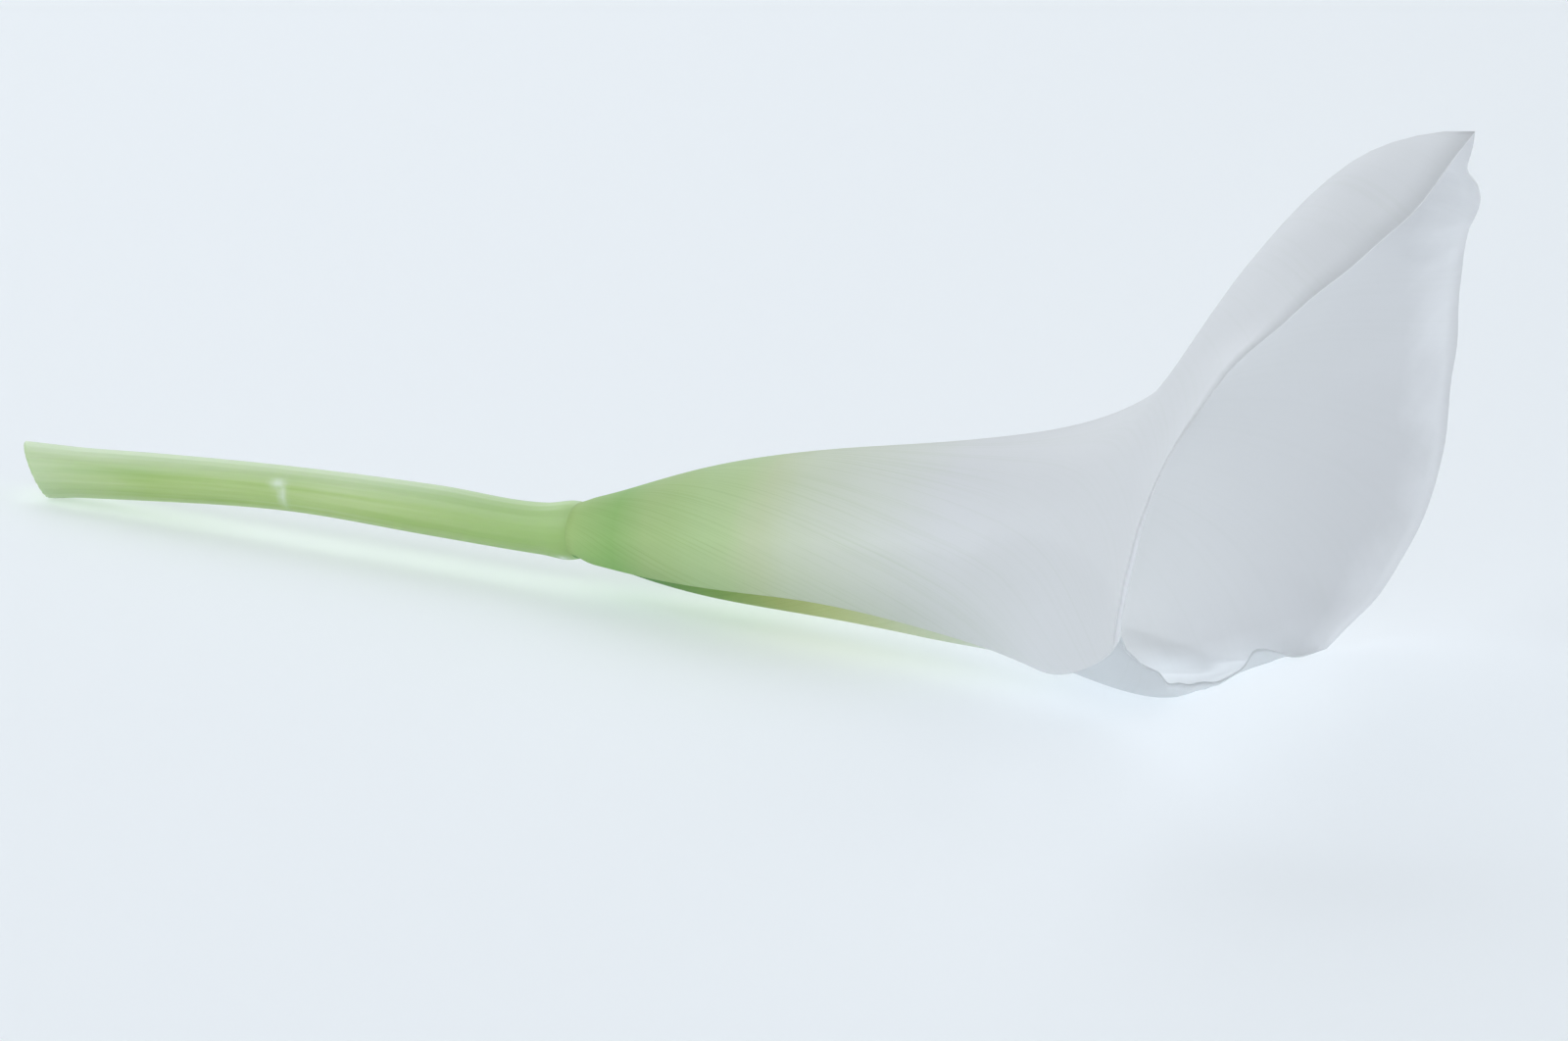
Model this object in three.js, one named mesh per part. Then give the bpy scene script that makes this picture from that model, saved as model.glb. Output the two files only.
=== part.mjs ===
// Calla lily flower, cut from its plant and lying on a table.
// Three organs: the stalk, the rolled spathe that forms the trumpet, and the spadix inside it.
// Millimetres, +Z up. The flower lies along X with its mouth towards +X and rests on Z = 0.
// Its near side is towards -Y, and its far side towards +Y.

import * as THREE from 'three';
import { mergeVertices } from 'three/addons/utils/BufferGeometryUtils.js';

// Fine clearance kept between organs that touch
const CLEARANCE = 0.3;

// Stalk: where along X, height of its centre above the table, and radius
const STALK = [
  { along: 1.5, height: 4.9, radius: 4.9 },
  { along: 14, height: 5.8, radius: 4.7 },
  { along: 28, height: 7.1, radius: 4.5 },
  { along: 62, height: 9.6, radius: 4.1 },
  { along: 94, height: 10.1, radius: 4.6 },
  { along: 117, height: 10.3, radius: 4.8 },
  { along: 123.3, height: 10.4, radius: 4.7 },
];
const STALK_CUT_SLOPE = 0.58;
const STALK_CUT_DEPTH = 12;
const STALK_SIDES = 24;
const STALK_STEP = 5;
const LINE_SAMPLES = 200;

// The stalk goes on as a thinner core through the collar of the spathe
const CORE_RADIUS = 3.4;
const CORE_START = 0.012;
const CORE_END = 0.15;

// Spadix, a slim club that stands on the core. Places are along the trumpet, 0 its neck and 1 its rim.
const SPADIX_START = 0.156;
const SPADIX_END = 0.6;
const SPADIX_RADIUS = 4.6;
const SPADIX_FOOT_RADIUS = 3.2;
const SPADIX_FULL_FROM = 0.35;
const SPADIX_TAPER_FROM = 0.55;
const SPADIX_TAPER = 0.75;
const SPADIX_NOSE_FROM = 0.9;
const SPADIX_SIDES = 20;
const SPADIX_STEPS = 22;

// Rings that steer the spathe from its neck to its rim. Where a ring isn't round,
// its three values are for the midrib above, the two sides and the belly below.
const RINGS = [
  { along: 124, radius: 4.3, height: 10.4 },
  { along: 128, radius: 4.7, height: 10.6 },
  { along: 134, radius: [6.8, 6.8, 7.6], height: 12.6 },
  { along: 152, radius: [10.7, 10.7, 13.2], height: 16.4 },
  { along: 178, radius: [13, 13, 16.6], height: 20.5 },
  { along: [203, 205, 205], radius: [12.5, 15, 22], height: 25 },
  { along: [252, 232.5, 220], radius: [18, 18, 31], height: 33 },
  { along: [260.5, 256, 244.5], radius: [57.5, 39, 36], height: 33 },
  { along: [278.5, 261, 245.5], radius: [27, 57, 32], height: 34.5 },
];

// The point that the rim draws out above the midrib
const TIP = { forward: 12.5, up: 39.5, width: 46 };
const TIP_SHARE_BEHIND = 0.3;
const TIP_ROUNDING = 9;

// How far round the two margins reach, in degrees from the midrib. The near margin lies outside.
const NEAR_REACH = { tube: 134, dip: 154, rim: 96 };
const NEAR_DIPS = [0.45, 0.82];
const NEAR_OPENS = [0.82, 0.98];
const FAR_REACH = { neck: 218, tube: 238, rim: 256 };
const FAR_GROWS = [0.1, 0.3];
const FAR_OPENS = [0.6, 1];

// The near corner is drawn back, and the far corner is rounded off under it
const CORNER_BACK = 2;
const CORNER_SPAN = [80, 96];
const CORNER_FROM = [0.7, 0.95];
const FAR_CUT = 0.1;
const FAR_CUT_SPAN = [190, 250];
const FAR_CUT_FROM = [0.5, 1];

// Folds of the lower rim. Each lies at an angle on the far side of the midrib and has a width.
// It lifts the rim and draws it back, and the wall behind it sags.
const FOLDS = [
  { at: 215, width: 22, lift: 8, back: 3.2, start: 0.86, sag: 4.6 },
  { at: 149, width: 7, lift: 4.8, back: 1.8, start: 0.955, sag: -3 },
  { at: 138, width: 8, lift: -2.2, back: 0, start: 0.9, sag: -1 },
];
const FOLD_DEPTH = 0.25;

// Where the two layers overlap, the near one stands out by this much and the far one in
const LAYER_PARTING = 1;
const LAYERS_PART_BY = 0.1;
const NEAR_PARTS = [60, 120];
const FAR_PARTS = [190, 230];

// Thickness of the spathe's wall
const WALL = { neck: 1, rim: 0.9 };
const SPATHE_STEPS_ALONG = 30;
const SPATHE_STEPS_ROUND = 80;

// Corners closer than this are one
const SAME_POINT = 1e-4;

const DEGREE = Math.PI / 180;
const clamp = THREE.MathUtils.clamp;
const lerp = THREE.MathUtils.lerp;
const smooth = (from, until, value) => THREE.MathUtils.smoothstep(value, from, until);

// Weights of the rings at a place along the trumpet: an even cubic B-spline
// that starts on the first ring and ends on the last.
const DEGREE_OF_CURVE = 3;
const SPANS = RINGS.length - DEGREE_OF_CURVE;

function knot(index) {
  return clamp((index - DEGREE_OF_CURVE) / SPANS, 0, 1);
}

function ringWeights(place) {
  const u = clamp(place, 0, 1);
  const span = Math.min(Math.floor(u * SPANS), SPANS - 1) + DEGREE_OF_CURVE;
  let weights = [1];
  for (let degree = 1; degree <= DEGREE_OF_CURVE; degree++) {
    const next = new Array(degree + 1).fill(0);
    weights.forEach((weight, i) => {
      const first = span - degree + 1 + i;
      const share = (u - knot(first)) / (knot(first + degree) - knot(first));
      next[i] += weight * (1 - share);
      next[i + 1] += weight * share;
    });
    weights = next;
  }
  const all = new Array(RINGS.length).fill(0);
  weights.forEach((weight, i) => {
    all[span - DEGREE_OF_CURVE + i] = weight;
  });
  return all;
}

// A ring's value at an angle from the midrib
function aroundRing(value, angle) {
  if (!Array.isArray(value)) {
    return value;
  }
  const [above, side, below] = value;
  const c = Math.cos(angle);
  return side + ((c > 0 ? above : below) - side) * c * c;
}

// The middle line of the trumpet
function spatheAxis(place) {
  const axis = new THREE.Vector3();
  ringWeights(place).forEach((weight, i) => {
    const ring = RINGS[i];
    const along = Array.isArray(ring.along) ? ring.along[1] : ring.along;
    axis.x += weight * along;
    axis.z += weight * ring.height;
  });
  return axis;
}

// Angle from the midrib in degrees. side runs from -1 on the far margin over 0 on the midrib
// to 1 on the near margin.
function wrapAngle(place, side) {
  if (side > 0) {
    const tube = lerp(NEAR_REACH.tube, NEAR_REACH.dip, smooth(...NEAR_DIPS, place));
    return side * (tube + (NEAR_REACH.rim - NEAR_REACH.dip) * smooth(...NEAR_OPENS, place));
  }
  const tube = lerp(FAR_REACH.neck, FAR_REACH.tube, smooth(...FAR_GROWS, place));
  return side * (tube + (FAR_REACH.rim - FAR_REACH.tube) * smooth(...FAR_OPENS, place));
}

// A point in the middle of the spathe's wall
function spathePoint(place, side) {
  const degrees = wrapAngle(place, side);
  const angle = degrees * DEGREE;
  const last = RINGS.length - 1;
  const cut = FAR_CUT * smooth(...FAR_CUT_SPAN, -degrees) * smooth(...FAR_CUT_FROM, place);
  let along = 0;
  let radius = 0;
  let height = 0;
  ringWeights(place * (1 - cut)).forEach((weight, i) => {
    const ring = RINGS[i];
    let drawn = 0;
    if (i === last) {
      drawn = Math.exp(-Math.abs(degrees) / TIP.width);
    }
    if (i === last - 1) {
      drawn = TIP_SHARE_BEHIND * Math.exp(-Math.hypot(degrees, TIP_ROUNDING) / TIP.width);
    }
    along += weight * (aroundRing(ring.along, angle) + TIP.forward * drawn);
    radius += weight * (aroundRing(ring.radius, angle) + TIP.up * drawn);
    height += weight * ring.height;
  });
  for (const fold of FOLDS) {
    const crest = Math.exp(-(((-degrees - fold.at) / fold.width) ** 2));
    const rise = smooth(fold.start, 1, place);
    const behind = smooth(fold.start - FOLD_DEPTH, fold.start, place) * (1 - rise);
    radius -= crest * (fold.lift * rise + fold.sag * behind);
    along -= crest * fold.back * rise;
  }
  along -= CORNER_BACK * smooth(...CORNER_SPAN, degrees) * smooth(...CORNER_FROM, place);
  const parting = smooth(...NEAR_PARTS, degrees) - smooth(...FAR_PARTS, -degrees);
  radius += LAYER_PARTING * parting * smooth(0, LAYERS_PART_BY, place);
  return new THREE.Vector3(along, -radius * Math.sin(angle), height + radius * Math.cos(angle));
}

// Outward direction of the spathe's wall, from four points a small step apart
function spatheNormal(place, side) {
  const small = 1e-3;
  const before = Math.max(place - small, 0);
  const after = Math.min(place + small, 1);
  const lower = side - small;
  const upper = side + small;
  const lengthwise = spathePoint(after, side).sub(spathePoint(before, side));
  const crosswise = spathePoint(place, upper).sub(spathePoint(place, lower));
  return crosswise.cross(lengthwise).normalize();
}

// Joins the seams and poles of a shape into one closed skin
function closed(geometry) {
  geometry.deleteAttribute('normal');
  geometry.deleteAttribute('uv');
  const skin = mergeVertices(geometry, SAME_POINT);
  const index = skin.index.array;
  const kept = [];
  for (let i = 0; i < index.length; i += 3) {
    const [a, b, c] = index.slice(i, i + 3);
    if (a !== b && b !== c && c !== a) {
      kept.push(a, b, c);
    }
  }
  skin.setIndex(kept);
  skin.computeVertexNormals();
  return skin;
}

// Moves every corner of a shape to a new place
function reshape(geometry, move) {
  const position = geometry.attributes.position;
  const point = new THREE.Vector3();
  for (let i = 0; i < position.count; i++) {
    const moved = move(point.fromBufferAttribute(position, i));
    position.setXYZ(i, moved.x, moved.y, moved.z);
  }
  return geometry;
}

// The spathe is a flat blade, one wall thick, rolled up round the spadix.
// Where its belly would sink into the table it lies flat on it.
function makeSpathe() {
  const blade = new THREE.BoxGeometry(2, 1, 1, SPATHE_STEPS_ROUND, SPATHE_STEPS_ALONG, 1);
  return closed(reshape(blade, (point) => {
    const place = point.y + 0.5;
    const side = -point.x;
    const wall = lerp(WALL.neck, WALL.rim, place);
    const rolled = spathePoint(place, side);
    rolled.addScaledVector(spatheNormal(place, side), -point.z * wall);
    rolled.z = Math.max(rolled.z, (point.z + 0.5) * wall);
    return rolled;
  }));
}

// A round body whose profile runs along Y, bent to follow a line. The line gives the centre
// for a distance along Y.
function bendAlong(profile, sides, line) {
  const turned = new THREE.LatheGeometry(profile, sides);
  return closed(reshape(turned, (point) => {
    const centre = line(point.y);
    return new THREE.Vector3(centre.x, centre.y + point.z, centre.z + point.x);
  }));
}

// Reads the second value of a smooth line through stations at a distance along X
function readLine(stations, along) {
  const points = new THREE.SplineCurve(stations).getPoints(LINE_SAMPLES);
  const after = points.findIndex((point, i) => i > 0 && (point.x >= along || i === LINE_SAMPLES));
  const a = points[after - 1];
  const b = points[after];
  return lerp(a.y, b.y, clamp((along - a.x) / (b.x - a.x), 0, 1));
}

// The stalk: a profile from the cut end over the shoulder to the end of the core
function makeStalk() {
  const coreLine = [CORE_START, (CORE_START + CORE_END) / 2, CORE_END].map(spatheAxis);
  const heights = [
    ...STALK.map(({ along, height }) => new THREE.Vector2(along, height)),
    ...coreLine.map((point) => new THREE.Vector2(point.x, point.z)),
  ];
  const radii = STALK.map(({ along, radius }) => new THREE.Vector2(along, radius));
  const start = STALK[0].along;
  const shoulder = STALK[STALK.length - 1].along;
  const coreEnd = spatheAxis(CORE_END).x;

  const profile = [new THREE.Vector2(0, start)];
  const steps = Math.round((shoulder - start) / STALK_STEP);
  for (let i = 0; i <= steps; i++) {
    const along = lerp(start, shoulder, i / steps);
    profile.push(new THREE.Vector2(readLine(radii, along), along));
  }
  profile.push(new THREE.Vector2(CORE_RADIUS, shoulder + CLEARANCE));
  profile.push(new THREE.Vector2(CORE_RADIUS, (shoulder + coreEnd) / 2));
  profile.push(new THREE.Vector2(CORE_RADIUS - CLEARANCE, coreEnd));
  profile.push(new THREE.Vector2(0, coreEnd));

  const body = bendAlong(profile, STALK_SIDES, (along) => (
    new THREE.Vector3(along, 0, readLine(heights, along))
  ));
  // The cut end slants, its lower edge nearest to the flower
  return closed(reshape(body, (point) => {
    const fade = 1 - smooth(start, start + STALK_CUT_DEPTH, point.x);
    point.x -= STALK_CUT_SLOPE * (point.z - STALK[0].height) * fade;
    return point;
  }));
}

// The spadix: narrow at its foot, full along its middle, rounded at its end
function makeSpadix() {
  const foot = spatheAxis(SPADIX_START);
  const end = spatheAxis(SPADIX_END);
  const line = new THREE.CatmullRomCurve3(
    [0, 0.25, 0.5, 0.75, 1].map((share) => spatheAxis(lerp(SPADIX_START, SPADIX_END, share))),
  );
  const length = end.x - foot.x;
  const profile = [new THREE.Vector2(0, 0)];
  for (let i = 0; i < SPADIX_STEPS; i++) {
    const share = i / SPADIX_STEPS;
    const swell = lerp(SPADIX_FOOT_RADIUS, SPADIX_RADIUS, smooth(0, SPADIX_FULL_FROM, share));
    const taper = Math.sqrt(1 - SPADIX_TAPER * smooth(SPADIX_TAPER_FROM, 1, share) ** 2);
    const nose = Math.sqrt(1 - clamp((share - SPADIX_NOSE_FROM) / (1 - SPADIX_NOSE_FROM), 0, 1) ** 2);
    profile.push(new THREE.Vector2(swell * taper * nose, share * length));
  }
  profile.push(new THREE.Vector2(0, length));
  return bendAlong(profile, SPADIX_SIDES, (distance) => line.getPointAt(clamp(distance / length, 0, 1)));
}

// Colours and finish of the three organs
const finishes = {
  stem: { color: '#a5bf8d', roughness: 0.5 },
  spathe: { color: '#d3dbe0', roughness: 0.6 },
  spadix: { color: '#e3b83f', roughness: 0.8 },
};

const flower = new THREE.Group();

function addOrgan(name, geometry) {
  const material = new THREE.MeshStandardMaterial({ ...finishes[name], metalness: 0 });
  const mesh = new THREE.Mesh(geometry, material);
  mesh.name = name;
  flower.add(mesh);
}

addOrgan('stem', makeStalk());
addOrgan('spathe', makeSpathe());
addOrgan('spadix', makeSpadix());

// The origin is on the table, under the middle of the whole flower
const box = new THREE.Box3().setFromObject(flower);
const middle = box.getCenter(new THREE.Vector3());
for (const mesh of flower.children) {
  mesh.geometry.translate(-middle.x, -middle.y, -box.min.z);
}

export default flower;
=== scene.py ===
import math
import random

import bmesh
import bpy
import numpy as np
from bpy.props import FloatProperty, FloatVectorProperty, IntProperty, PointerProperty
from mathutils import Matrix, Vector


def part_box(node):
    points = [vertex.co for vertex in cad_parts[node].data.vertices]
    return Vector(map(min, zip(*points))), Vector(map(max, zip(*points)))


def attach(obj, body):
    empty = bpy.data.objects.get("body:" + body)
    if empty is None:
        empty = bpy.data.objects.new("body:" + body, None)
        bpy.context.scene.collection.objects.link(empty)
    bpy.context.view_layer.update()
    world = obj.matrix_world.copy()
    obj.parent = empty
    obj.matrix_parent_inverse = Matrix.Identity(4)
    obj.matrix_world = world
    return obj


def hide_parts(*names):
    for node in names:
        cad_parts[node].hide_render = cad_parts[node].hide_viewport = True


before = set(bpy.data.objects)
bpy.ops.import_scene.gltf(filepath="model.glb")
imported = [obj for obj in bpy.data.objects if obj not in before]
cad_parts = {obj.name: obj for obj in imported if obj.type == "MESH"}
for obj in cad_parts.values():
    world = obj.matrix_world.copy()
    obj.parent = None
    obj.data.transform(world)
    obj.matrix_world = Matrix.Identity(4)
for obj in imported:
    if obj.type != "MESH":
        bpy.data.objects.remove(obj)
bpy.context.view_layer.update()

bl_info = {
    "name": "Calla Lily Flower",
    "version": (1, 0, 0),
    "blender": (4, 5, 0),
    "location": "View3D > Sidebar > Calla Lily",
    "description": "Builds a cut calla lily flower that lies on a table",
    "category": "Add Mesh",
}

MM = 0.001
BODY = "root"
# Digits of a millimetre that count when faces are put in order
ORDER_DIGITS = 3

# Where the frame puts the flower: the neck of the spathe, the flower's plane of symmetry, the
# cut end of the stalk, and the corners of the spadix
NECK_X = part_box("spathe")[0].x
MIDDLE_Y = (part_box("stem")[0].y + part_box("stem")[1].y) / 2
CUT_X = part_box("stem")[0].x
SPADIX_LOW, SPADIX_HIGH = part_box("spadix")
SPADIX_LENGTH = SPADIX_HIGH.x - SPADIX_LOW.x

# Rings that steer the spathe from its neck to its rim, in millimetres, measured from the neck.
# Each has its place along X, its radius and the height of its centre. Three values are for
# the midrib above, the two sides and the belly below.
RINGS = [
    {"along": 0, "radius": 4.9, "height": 11},
    {"along": 4, "radius": (5.7, 5.3, 4.9), "height": 11.5},
    {"along": 10, "radius": (6.8, 6.8, 7.2), "height": 12.6},
    {"along": 28, "radius": (10.7, 10.7, 13.2), "height": 16.4},
    {"along": 54, "radius": (13, 13, 16.6), "height": 20.5},
    {"along": (79, 81, 81), "radius": (12.5, 15, 22), "height": 25},
    {"along": (128, 108.5, 96), "radius": (18, 18, 31), "height": 33},
    {"along": (136.5, 132, 120.5), "radius": (57.5, 39, 36), "height": 33},
    {"along": (154.5, 137, 121.5), "radius": (27, 57, 32), "height": 34.5},
]
SPLINE_DEGREE = 3

# The point that the rim draws out above the midrib, in millimetres and degrees. The ring
# behind the rim takes a share of it, with a rounded crest.
TIP_FORWARD = 12.5
TIP_UP = 38.9
TIP_WIDTH = 46
TIP_SHARE_BEHIND = 0.3
TIP_ROUNDING = 9

# How far round the margins reach, in degrees from the midrib, and the shares of the spathe's
# length over which that changes. The near margin lies outside.
NEAR_TUBE = 134
NEAR_DIP = 154
NEAR_RIM = 96
NEAR_DIPS = (0.45, 0.82)
NEAR_OPENS = (0.82, 0.98)
FAR_NECK = 225
FAR_TUBE = 238
FAR_RIM = 256
FAR_GROWS = (0.1, 0.3)
FAR_OPENS = (0.6, 1)

# The near corner is drawn back by some millimetres, and the far corner is cut shorter by a
# share, each over some degrees and a stretch of the length
CORNER_BACK = 2
CORNER_SPAN = (80, 96)
CORNER_FROM = (0.7, 0.95)
FAR_CUT = 0.1
FAR_CUT_SPAN = (190, 250)
FAR_CUT_FROM = (0.5, 1)

# Folds of the rim. Each lies at an angle on the far side of the midrib and has a width, both in
# degrees. It draws the rim in and back by some millimetres, starts at a share of the length,
# and draws in the wall behind it. The first three are the little hook at the very tip, the
# dent beside it and the lobe under the dent.
FOLDS = [
    {"at": 0, "width": 2.2, "in": -0.7, "back": -0.6, "start": 0.97, "behind": 0},
    {"at": 9, "width": 5, "in": 0.5, "back": 1.7, "start": 0.9, "behind": 0},
    {"at": 28, "width": 10, "in": -0.2, "back": -0.8, "start": 0.9, "behind": 0},
    {"at": 77, "width": 4, "in": -0.7, "back": 0, "start": 0.95, "behind": 0},
    {"at": 138, "width": 8, "in": -2.2, "back": 0, "start": 0.9, "behind": -1},
    {"at": 149, "width": 7, "in": 4.8, "back": 1.8, "start": 0.955, "behind": -3},
    {"at": 215, "width": 22, "in": 8, "back": 3.2, "start": 0.86, "behind": 4.6},
]
FOLD_DEPTH = 0.25

# Where the layers lap, the near one moves out and the far one in by this many millimetres.
# They part within a share of the length from the neck, and over some degrees on each side.
LAYER_PARTING = 1
LAYER_PARTS_BY = 0.1
NEAR_PARTS = (60, 120)
FAR_PARTS = (190, 230)

# A slow ripple of the rim, in waves round the blade and millimetres, from a share of the length.
# A second one, slower by a share and shifted by some radians, keeps it from looking even.
RIPPLE_WAVES = 23
RIPPLE_HEIGHT = 0.22
RIPPLE_FROM = 0.85
RIPPLE_SLOWER = 0.63
RIPPLE_SHIFT = 1

# Where the wall grows from the stalk it has a share of its thickness. It has all of it by a
# share of the length.
NECK_THINNED = 0.35
NECK_FULL_BY = 0.06

# Faces along and round the blade that is rolled into the spathe
SPATHE_STEPS_ALONG = 96
SPATHE_STEPS_ROUND = 288

# Colours of the spathe at shares of its length from the neck. The outside turns from green to
# the white of the settings. The layer that laps inside keeps a deeper green, with painted shade
# on its outside and painted light on its inside.
OUTSIDE_GREEN = [
    (0.0, "#AEC584"), (0.03, "#B2CA8B"), (0.07, "#ADC889"), (0.17, "#9FC27F"), (0.245, "#B2C892"),
    (0.3, "#B5CB97"), (0.35, "#BBD0A2"), (0.395, "#C0D2A8"), (0.435, "#CAD3B6"),
    (0.475, "#D0D7C6"), (0.515, "#D3D8CD"), (0.59, "#D8DBD6"),
]
OUTSIDE_WHITE_SPAN = (0.67, 0.9)
# A painted highlight along the outside of the rim
OUTSIDE_RIM_HIGHLIGHT = (0.975, "#DDDEDF")
# The lapped layer's own deeper green, with painted shade where it shows under the near margin and
# under the lower rim
OUTSIDE_LAPPED_GREEN_AND_SHADE = [
    (0.05, "#7DAB68"), (0.235, "#6A9A57"), (0.365, "#8CAB60"), (0.45, "#B1BC7C"),
    (0.52, "#C6CE98"), (0.6, "#D2D9BC"), (0.72, "#D5DAD0"), (0.85, "#CFD2D4"),
]
THROAT = [(0.0, "#B9CE8E"), (0.3, "#CCD8B3"), (0.5, "#D6DCCF")]
# Inside white, with painted shade darkening it towards the rim and a painted highlight on the rim
# itself
INSIDE_WHITE_SHADE_AND_RIM_LIGHT = [(0.65, "#DADBDC"), (0.85, "#D8D9DA"), (0.965, "#D4D5D7"), (0.995, "#E0E1E3")]
# Painted light on the inside of the lower lip, lighter than the rest of the inside
INSIDE_LIP_PAINTED_LIGHT = [(0.68, "#E2E4E6"), (0.9, "#EAECEE"), (0.965, "#DADCDE")]
# Painted shade, slightly green, on the lower sides of the tube
LOWER_SIDES_PAINTED_SHADE = [(0.0, "#F2F4F0"), (0.05, "#E2F0DD"), (0.19, "#E2EEDE"), (0.26, "#EEF0EC")]

# Where those colours go, in shares of the length and shares of the way round from the midrib.
# Towards the rim the colours of the lapped layer begin nearer to the midrib.
LAPPED_ROUND = (1.0, 1.09)
LAPPED_SPREADS = (0.78, 0.95)
LAPPED_SPREAD = 0.27
SIDES_ROUND = (0.5, 0.76)
TUBE_ENDS = (0.62, 0.82)

# A cloudy drift of the green into the white, in millimetres and a share of the length
CLOUD_SIZE = 11.1
CLOUD_DRIFT = 0.05

# Veins: how many lie side by side, how they curve and slant away from the midrib, how much they
# waver, and which part of their pattern shows. Over a span of the length they pale, to a share
# that is left where the petal is white. Their depth is in millimetres.
VEINS_ACROSS = 110
VEIN_CURVE = 0.83
VEIN_SLANT = 0.79
VEIN_WAVER = 2.2
VEIN_TONES = (0.5, 0.75)
VEINS_PALE = (0.4, 0.75)
VEIN_LEFT = 0.18
OUTSIDE_VEIN = "#ECF1E6"
OUTSIDE_VEIN_DEPTH = 0.012
INSIDE_VEIN = "#F3F5F2"
INSIDE_VEIN_DEPTH = 0.01

# Petal cells are about 0.05 mm wide, too fine to show, so they are drawn ten times as coarse.
# The rest are shares: their height beside the veins', the roughness between and on the veins,
# and how much of the light goes through.
PETAL_CELL = 0.556
PETAL_CELL_RELIEF = 0.2
PETAL_ROUGHNESS = (0.48, 0.6)
PETAL_LETS_THROUGH = 0.35

# Stalk: place from its cut end, height of its centre and radius, in millimetres.
# It ends as a thinner core inside the neck of the spathe.
STALK = [
    (4.0, 4.9, 4.9),
    (15, 5.8, 4.7),
    (29, 7.1, 4.5),
    (63, 9.6, 4.1),
    (95, 10.1, 4.6),
    (118, 10.2, 4.65),
    (125.3, 10.9, 5.15),
    (128.3, 11.2, 4.2),
    (131, 11, 3.4),
    (137, 11.9, 3.3),
]
STALK_SEGMENTS = 72
STALK_STEPS = 150

# How far the cut face slants back with height and forward towards the near side, and the
# length of stalk over which that fades, in millimetres. The ribs fade just before the neck.
CUT_SLOPE = 0.58
CUT_TURN = 0.6
CUT_DEPTH = 12
RIBS_END = 3

# Pale scars on the stalk: place along it, angle round it from the top towards the near side,
# half length and half width in millimetres
SCARS = [
    {"along": 63.6, "angle": 92, "long": 0.8, "wide": 2.4, "strength": 0.6},
    {"along": 62.4, "angle": 62, "long": 1.5, "wide": 0.9, "strength": 0.7},
    {"along": 123.6, "angle": 148, "long": 1.0, "wide": 0.9, "strength": 1.0},
]

# Skin of the stalk, in millimetres. Its fibres are about half a millimetre wide, too fine to
# show, so they are drawn three times as wide. Wider patches of tone lie under them.
FIBRE_LENGTH = 71.4
FIBRE_WIDTH = 1.61
PATCH_LENGTH = 45.5
PATCH_WIDTH = 7.7
FIBRE_SHARE = 0.55
FIBRE_DEPTH = 0.08
STALK_GREENS = [(0.36, "#97B964"), (0.5, "#A9C479"), (0.64, "#B7CD8E")]

# A painted sheen whitens the stalk's upper side, from one height above its middle to another,
# and the stalk turns paler towards its cut end, from one place along it to another. The
# youngest stretch, next to the flower, turns an even green. All in millimetres, with the most
# that each colour covers.
SHEEN_AND_PALE_END = "#D1E0C6"
SHEEN_HEIGHTS = (1.5, 4.6)
SHEEN_ABOVE = 0.6
PALE_FROM_CUT = (34, 3)
PALE_AT_CUT = 0.5
YOUNG_GREEN = "#A0C077"
YOUNG_SPAN = (75, 124)
YOUNG_SHARE = 0.85
HEALED = "#E4EEE4"

# Air channels of the cut are about 0.3 mm wide, and drawn twice as wide so that they show
AIR_CHANNEL = 0.667
CHANNEL_DEPTH = 0.2
CUT_COLOURS = [(0.15, "#A9C285"), (0.5, "#DCE9C8")]

# Spadix: height of its foot's centre above the bottom of its node's box, depth of its end's
# top below the top of that box, and radii, in millimetres
SPADIX_FOOT_HEIGHT = 3.2
SPADIX_END_DEPTH = 1.5
SPADIX_FOOT_RADIUS = 3.0
SPADIX_RADIUS = 4.0
SPADIX_END_RADIUS = 0.05
# Shares of its length at which it is full, begins to taper, and is rounded to its end
SPADIX_FULL_BY = 0.35
SPADIX_TAPERS_FROM = 0.55
SPADIX_NOSE = 0.1
SPADIX_TAPER = 0.75
SPADIX_STEPS = 40
SPADIX_SEGMENTS = 24

# Florets: the green ones at the foot are wider. Sizes are shares of a floret's width, and tints
# are places on the ramp of floret colours.
FLORET_LIMIT = 3000
FLORET_PACKING = 0.84
FLORET_GREEN_UNTIL = 0.22
FLORET_GREEN_WIDTH = 1.3
FLORET_SIZES = (0.5, 0.58)
FLORET_GREEN_TINTS = (0.15, 0.25)
FLORET_TINTS = (0.4, 1.0)
FLORET_COLOURS = [(0.0, "#B7C06A"), (0.25, "#D9C255"), (0.45, "#E8B93C"), (1.0, "#F7D766")]

# Pollen grains are about 0.04 mm wide, too fine to show, and drawn as clumps
POLLEN_CLUMP = 0.25
POLLEN_DEPTH = 0.1

# Floor: its radius in metres. The grain of a table top is about 0.3 mm wide, too fine to show,
# so it is drawn ten times as coarse, in millimetres.
FLOOR_RADIUS = 8.0
FLOOR_SEGMENTS = 96
FLOOR_GRAIN = 3.33
FLOOR_GRAIN_DEPTH = 0.1
# Camera: angles in degrees, the point it looks at in millimetres from the neck, and the least
# distance that it shows in metres
CAMERA_AZIMUTH = 30
CAMERA_ELEVATION = 16.5
CAMERA_TARGET = (42, 0, 19)
CAMERA_CLIP = 0.01
# Even lights round the flower: azimuth in degrees and share of the fill of each, then the
# elevation and the width of them all in degrees
FILLS = ((315, 1.45), (45, 0.75), (135, 0.5), (225, 1.2))
FILL_ELEVATION = 33
FILL_SPREAD = 57
FILL_COLOUR = "#F2F7FC"
# A large soft light above, behind and to the right of the flower, in metres
KEY_PLACE = (0.5, 0.75, 1.1)
KEY_SIZE = 1.2
KEY_COLOUR = "#FFFDFA"
SKY_COLOUR = "#F2F6FB"


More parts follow.
